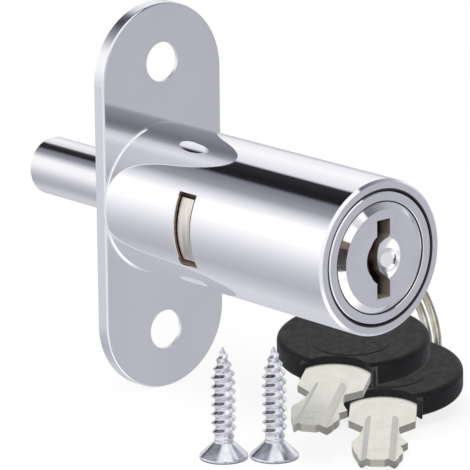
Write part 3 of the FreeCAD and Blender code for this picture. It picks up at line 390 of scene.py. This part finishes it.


# For each finish: darkest and lightest colour, roughness, bump, scale and stretch of the grain,
# and how metallic it is. Masked layers lie over it, most of them painted shade in gaps,
# recesses, corners and on walls: where, colour, roughness, metallic.
finishes = {
    "barrelChrome": {
        "dark": (0.90, 0.90, 0.92), "light": (0.95, 0.95, 0.97), "rough": (0.030, 0.050),
        "bump": 0.004, "scale": 60.0, "stretch": (1.0, 0.25, 1.0), "metal": 1.0,
        "layersAndPaintedLight": [
            # Painted shade: brown on the barrel's faces within 10.85 mm of its axis, such as the
            # window's walls, and near black within 9.75 mm, at the gap round the plunger.
            (zone(outer=10.85, front=-45.6, back=-0.5), (0.36, 0.27, 0.22), 0.5, 0.2),
            (zone(outer=9.75), (0.05, 0.042, 0.038), 0.5, 0.2),
        ],
    },
    "flangeChrome": {
        "dark": (0.90, 0.90, 0.92), "light": (0.95, 0.95, 0.97), "rough": (0.05, 0.075),
        "bump": 0.006, "scale": 80.0, "stretch": (1.0, 1.0, 0.5), "metal": 1.0,
        "layersAndPaintedLight": [
            # The flange's edge faces: a rougher finish, and a slightly darker colour, which is
            # painted shade.
            (("walls", {"Axis": lockAxis, "Limit": 0.25}), (0.86, 0.87, 0.90), 0.26, 1.0),
            # In the screw holes: rougher walls and countersinks, and a lighter colour, which is
            # painted brightness in place of their dark reflections.
            (
                ("holes", {"Height": 0.020, "Reach": 0.0047, "Limit": 0.9}),
                (0.98, 0.98, 0.99), 0.50, 1.0,
            ),
        ],
    },
    "plungerChrome": {
        "dark": (0.88, 0.88, 0.90), "light": (0.94, 0.94, 0.96), "rough": (0.05, 0.09),
        "bump": 0.008, "scale": 90.0, "stretch": (1.0, 1.0, 1.0), "metal": 1.0,
        "layersAndPaintedLight": [
            # Painted shade: the plunger brown from 34 mm in, where it lies inside the barrel, and
            # near black within 8 mm of its axis, at its gap round the core.
            (zone(front=-34.0), (0.20, 0.15, 0.125), 0.5, 0.2),
            (zone(outer=8.0), (0.03, 0.025, 0.022), 0.5, 0.2),
        ],
    },
    "coreChrome": {
        "dark": (0.92, 0.92, 0.93), "light": (0.98, 0.98, 0.99), "rough": (0.06, 0.10),
        "bump": 0.008, "scale": 300.0, "stretch": (1.0, 1.0, 1.0), "metal": 1.0,
        "layersAndPaintedLight": [
            # Painted shade: the keyway's walls brown, and the core from 45.9 mm in near black,
            # fading in over 1.4 mm.
            (("walls", {"Axis": lockAxis, "Limit": 0.25}), (0.46, 0.38, 0.33), 0.5, 0.2),
            (zone(front=-45.9, soft=1.4), (0.04, 0.03, 0.026), 0.5, 0.2),
        ],
    },
    "boltChrome": {
        "dark": (0.80, 0.80, 0.82), "light": (0.88, 0.88, 0.90), "rough": (0.12, 0.16),
        "bump": 0.006, "scale": 80.0, "stretch": (1.0, 0.2, 1.0), "metal": 1.0,
    },
    "latchNickel": {
        "dark": (0.66, 0.61, 0.54), "light": (0.90, 0.86, 0.80), "rough": (0.24, 0.36),
        "bump": 0.10, "scale": 1100.0, "stretch": (1.0, 1.0, 0.10), "metal": 1.0,
        # Painted shade: a dark band at the latch's front end, where it passes under the window's
        # edge.
        "layersAndPaintedLight": [(zone(front=-19.5, back=-18.14, soft=0.12), (0.10, 0.07, 0.06), 0.5, 0.2)],
    },
    "keyNickel": {
        "dark": (0.72, 0.71, 0.61), "light": (0.86, 0.85, 0.77), "rough": (0.20, 0.34),
        "bump": 0.06, "scale": 420.0, "stretch": (1.0, 1.0, 1.0), "metal": 1.0,
        "layersAndPaintedLight": [
            # Painted shade: the bow's slopes a little darker, the blade's edges darker still, and
            # creases and inside corners darkest.
            (("walls", {"Axis": keyAxis, "Limit": 0.96}), (0.68, 0.66, 0.58), 0.22, 1.0),
            (("walls", {"Axis": keyAxis, "Limit": 0.50}), (0.48, 0.46, 0.39), 0.28, 1.0),
            (("corners", {"Distance": 0.0007}), (0.22, 0.20, 0.16), 0.4, 1.0),
        ],
    },
    "ringSteel": {
        "dark": (0.46, 0.43, 0.34), "light": (0.76, 0.73, 0.63), "rough": (0.14, 0.24),
        "bump": 0.01, "scale": 400.0, "stretch": (1.0, 1.0, 1.0), "metal": 1.0,
    },
    "screwZinc": {
        "dark": (0.66, 0.66, 0.73), "light": (0.93, 0.93, 0.98), "rough": (0.12, 0.20),
        "bump": 0.02, "scale": 700.0, "stretch": (1.0, 1.0, 1.0), "metal": 1.0,
        # Painted shade in the thread's roots, the recess and the other inside corners.
        "layersAndPaintedLight": [(("corners", {"Distance": 0.0005}), (0.16, 0.16, 0.19), 0.35, 1.0)],
    },
    "springSteel": {
        "dark": (0.40, 0.40, 0.42), "light": (0.60, 0.60, 0.62), "rough": (0.22, 0.32),
        "bump": 0.01, "scale": 400.0, "stretch": (1.0, 1.0, 1.0), "metal": 1.0,
    },
    "plainSteel": {
        "dark": (0.50, 0.50, 0.51), "light": (0.64, 0.64, 0.65), "rough": (0.25, 0.35),
        "bump": 0.01, "scale": 400.0, "stretch": (1.0, 1.0, 1.0), "metal": 1.0,
    },
    "waferBrass": {
        "dark": (0.26, 0.19, 0.14), "light": (0.44, 0.34, 0.26), "rough": (0.34, 0.48),
        "bump": 0.03, "scale": 900.0, "stretch": (1.0, 1.0, 1.0), "metal": 0.6,
    },
    "keyPlastic": {
        "dark": (0.009, 0.010, 0.010), "light": (0.017, 0.018, 0.018), "rough": (0.44, 0.58),
        "bump": 0.12, "scale": 900.0, "stretch": (1.0, 1.0, 1.0), "metal": 0.0, "specular": 0.22,
    },
}


def addEffect(tree, name, values):
    return addNode(tree, "ShaderNodeGroup", values, node_tree=effects[name]).outputs


def buildFinish(name):
    look = finishes[name]
    material = bpy.data.materials.new(name)
    material.use_nodes = True
    tree = material.node_tree
    grain = addEffect(tree, "fineGrain", {"Scale": look["scale"], "Stretch": look["stretch"]})
    low, high = look["rough"]
    limits = {"Value": grain["Mask"], "To Min": low, "To Max": high}
    roughness = addNode(tree, "ShaderNodeMapRange", limits).outputs[0]
    colour = addBlend(tree, grain["Mask"], (*look["dark"], 1), (*look["light"], 1))
    metallic = look["metal"]
    # Each masked layer, most of them painted shade, blends in its colour, roughness and metallic.
    for (effect, values), tint, layerRough, layerMetal in look.get("layersAndPaintedLight", []):
        mask = addEffect(tree, effect, values)["Mask"]
        colour = addBlend(tree, mask, colour, (*tint, 1))
        roughness = addBlend(tree, mask, roughness, layerRough, "FLOAT")
        if layerMetal != look["metal"]:
            metallic = addBlend(tree, mask, metallic, layerMetal, "FLOAT")
    relief = {
        "Strength": look["bump"], "Distance": fineGrain["bumpDepth"], "Height": grain["Height"],
    }
    bump = addNode(tree, "ShaderNodeBump", relief)
    surface = tree.nodes["Principled BSDF"]
    setSocket(tree, surface.inputs["Base Color"], colour)
    setSocket(tree, surface.inputs["Roughness"], roughness)
    setSocket(tree, surface.inputs["Metallic"], metallic)
    setSocket(tree, surface.inputs["Normal"], bump.outputs["Normal"])
    if "specular" in look:
        surface.inputs["Specular IOR Level"].default_value = look["specular"]
    return material


paint = {name: buildFinish(name) for name in finishes}

waferCount = 6
wears = {
    "barrel": "barrelChrome", "flange_plate": "flangeChrome", "bolt_guide": "plainSteel",
    "plunger": "plungerChrome", "bolt": "boltChrome", "bolt_pin": "plainSteel",
    "core": "coreChrome", "core_clip": "plainSteel", "latch": "latchNickel",
    "return_spring": "springSteel", "wafer_springs": "springSteel",
    "key_1_blade": "keyNickel", "key_2_blade": "keyNickel", "key_1_head": "keyPlastic",
    "key_2_head": "keyPlastic", "key_ring": "ringSteel",
}
for number in range(1, waferCount + 1):
    wears["wafer_" + str(number)] = "waferBrass"
for nodeName, finishName in wears.items():
    slots = nodes[nodeName].data.materials
    slots.clear()
    slots.append(paint[finishName])
print("finishes ready")


def turnProfile(mesh, profile, columns, swell=None):
    # Turns (radius, height) pairs round Z; swell may change a radius by its height and angle.
    rows = []
    for radius, height in profile:
        row = []
        for column in range(columns):
            angle = 2 * math.pi * column / columns
            reach = radius if swell is None else swell(radius, height, angle)
            row.append(mesh.verts.new((reach * math.cos(angle), reach * math.sin(angle), height)))
        rows.append(row)
    for lower, upper in zip(rows, rows[1:]):
        for column in range(columns):
            after = (column + 1) % columns
            mesh.faces.new((lower[column], lower[after], upper[after], upper[column]))
    return rows


def finishPiece(name, mesh, material, smooth=True):
    data = bpy.data.meshes.new(name)
    bmesh.ops.recalc_face_normals(mesh, faces=mesh.faces)
    mesh.to_mesh(data)
    mesh.free()
    for face in data.polygons:
        face.use_smooth = smooth
    data.materials.append(paint[material])
    piece = bpy.data.objects.new(name, data)
    bpy.context.scene.collection.objects.link(piece)
    return piece


# A wood screw that stands on its head: sizes in mm, heights from the head's flat face.
screw = {
    "headRadius": 3.4, "headRim": 0.4, "headEdge": 0.12, "edgeShare": 0.3,
    "rimStep": 0.05, "rimRise": 0.06, "neckHeight": 2.4, "neckRadius": 1.35,
    "neckFlare": 0.12, "neckDrop": 0.1,
    "rootRadius": 1.16, "crestRadius": 1.75, "pitch": 1.3, "ridge": 0.36, "threadStart": 2.6,
    "taperStart": 11.6, "taperPower": 1.4, "crestPower": 0.6, "tipRadius": 0.08,
    "length": 15.95, "columns": 48, "rowsPerTurn": 18,
    "recessReach": 1.95, "recessHalf": 0.42, "recessDepth": 1.5, "recessTaper": 0.5,
    "recessLead": 0.2,
}


def clampShare(value):
    return min(1.0, max(0.0, value))


def screwRadius(height):
    # the shank's own radius without its thread
    run = clampShare((height - screw["taperStart"]) / (screw["length"] - screw["taperStart"]))
    taper = run ** screw["taperPower"]
    return screw["rootRadius"] * (1 - taper) + screw["tipRadius"] * taper


def screwThread(radius, height, angle):
    # the ridge of the thread, which grows over its first turn and fades towards the tip
    start = (height - screw["threadStart"]) / screw["pitch"]
    if start <= 0:
        return radius
    turn = (height / screw["pitch"] - angle / (2 * math.pi)) % 1.0
    ridge = max(0.0, 1 - abs(turn - 0.5) / screw["ridge"])
    left = clampShare((screw["length"] - height) / (screw["length"] - screw["taperStart"]))
    rise = (screw["crestRadius"] - screw["rootRadius"]) * clampShare(start)
    rise *= left ** screw["crestPower"]
    return radius + rise * ridge


def buildRecess(name):
    # the cross that a driver enters, narrower at its floor
    mesh = bmesh.new()
    reach = screw["recessReach"]
    half = screw["recessHalf"]
    outline = [
        (reach, -half), (reach, half), (half, half), (half, reach), (-half, reach), (-half, half),
        (-reach, half), (-reach, -half), (-half, -half), (-half, -reach), (half, -reach),
        (half, -half),
    ]
    levels = ((-screw["recessLead"], 1.0), (screw["recessDepth"], screw["recessTaper"]))
    rings = []
    for level, share in levels:
        rings.append([mesh.verts.new((x * share, y * share, level)) for x, y in outline])
    for place in range(len(outline)):
        after = (place + 1) % len(outline)
        mesh.faces.new((rings[0][place], rings[0][after], rings[1][after], rings[1][place]))
    mesh.faces.new(list(reversed(rings[0])))
    mesh.faces.new(rings[1])
    return finishPiece(name, mesh, "screwZinc", smooth=False)


def buildScrew(nodeName):
    mesh = bmesh.new()
    head = screw["headRadius"]
    edge = screw["headEdge"]
    cut = edge * screw["edgeShare"]
    profile = [
        (head - edge, 0.0), (head - cut, cut), (head, edge), (head, screw["headRim"]),
        (head - screw["rimStep"], screw["headRim"] + screw["rimRise"]),
        (screw["neckRadius"] + screw["neckFlare"], screw["neckHeight"] - screw["neckDrop"]),
        (screw["neckRadius"], screw["neckHeight"]),
    ]
    step = screw["pitch"] / screw["rowsPerTurn"]
    height = screw["neckHeight"] + step
    while height < screw["length"] - step:
        settle = min(1.0, (height - screw["neckHeight"]) / screw["pitch"])
        radius = screw["neckRadius"] * (1 - settle) + screwRadius(height) * settle
        profile.append((min(radius, screw["neckRadius"]), height))
        height += step
    profile.append((screw["tipRadius"], screw["length"]))
    rows = turnProfile(mesh, profile, screw["columns"], screwThread)
    mesh.faces.new(list(reversed(rows[0])))
    mesh.faces.new(rows[-1])
    piece = finishPiece(nodeName + "_threaded", mesh, "screwZinc")
    recess = buildRecess(nodeName + "_recess")
    carving = piece.modifiers.new("recess", "BOOLEAN")
    carving.operation = "DIFFERENCE"
    carving.object = recess
    bpy.context.view_layer.update()
    finished = piece.evaluated_get(bpy.context.evaluated_depsgraph_get())
    carved = bpy.data.meshes.new_from_object(finished)
    piece.modifiers.clear()
    piece.data = carved
    bpy.data.objects.remove(recess)
    low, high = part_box(nodeName)
    middle = Vector(((low[0] + high[0]) / 2, (low[1] + high[1]) / 2, low[2]))
    piece.data.transform(Matrix.Translation(middle) @ Matrix.Scale(mm, 4))
    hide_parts(nodeName)
    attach(piece, "housing")
    return piece


threaded = [buildScrew("screw_1"), buildScrew("screw_2")]
print("screws ready")

# The bright bead where the barrel meets the flange: sizes in mm.
bead = {
    "radius": 11.0, "fillet": 0.24, "under": 0.35, "steps": 6, "columns": 160, "weld": 0.001,
}


def buildBead():
    mesh = bmesh.new()
    radius = bead["radius"]
    fillet = bead["fillet"]
    profile = [(radius - bead["under"], fillet), (radius, fillet)]
    for number in range(1, bead["steps"] + 1):
        angle = math.pi / 2 * number / bead["steps"]
        outwards = fillet * (1 - math.cos(angle))
        profile.append((radius + outwards, fillet * (1 - math.sin(angle))))
    profile.append((radius - bead["under"], 0.0))
    profile.append(profile[0])
    turnProfile(mesh, profile, bead["columns"])
    bmesh.ops.remove_doubles(mesh, verts=mesh.verts, dist=bead["weld"])
    piece = finishPiece("root_bead", mesh, "barrelChrome")
    piece.data.transform(Matrix.Rotation(math.radians(90), 4, "X") @ Matrix.Scale(mm, 4))
    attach(piece, "housing")


buildBead()
print("bead ready")

# The wound spring behind the latch: sizes in mm. Travel, how far the latch is drawn against it,
# isn't read: the coil keeps one length.
coil = {"outside": 1.15, "wire": 0.4, "turns": 5, "stepsPerTurn": 24, "sides": 8, "travel": 1.05}


def buildCoil():
    low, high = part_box("latch_spring")
    wire = coil["wire"] * mm / 2
    reach = coil["outside"] * mm - wire
    length = high[0] - low[0]
    middle = Vector((0, (low[1] + high[1]) / 2, (low[2] + high[2]) / 2))
    steps = coil["turns"] * coil["stepsPerTurn"]
    mesh = bmesh.new()
    rings = []
    for step in range(steps + 1):
        angle = 2 * math.pi * step / coil["stepsPerTurn"]
        outward = Vector((0, math.cos(angle), math.sin(angle)))
        along = low[0] + wire + (length - 2 * wire) * step / steps
        centre = middle + outward * reach + Vector((along, 0, 0))
        ring = []
        for side in range(coil["sides"]):
            turn = 2 * math.pi * side / coil["sides"]
            offset = outward * math.cos(turn) + Vector((math.sin(turn), 0, 0))
            ring.append(mesh.verts.new(centre + offset * wire))
        rings.append(ring)
    for before, after in zip(rings, rings[1:]):
        for side in range(coil["sides"]):
            beside = (side + 1) % coil["sides"]
            mesh.faces.new((before[side], before[beside], after[beside], after[side]))
    mesh.faces.new(rings[0])
    mesh.faces.new(list(reversed(rings[-1])))
    piece = finishPiece("latch_coil", mesh, "springSteel")
    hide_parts("latch_spring")
    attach(piece, "plunger")
    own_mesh(piece)


buildCoil()
print("latch coil ready")

# The loose pieces aren't mirrored in the lock's chrome.
loose = threaded + [nodes[name] for name in wears if name.startswith("key")]
for piece in loose:
    piece.visible_glossy = False
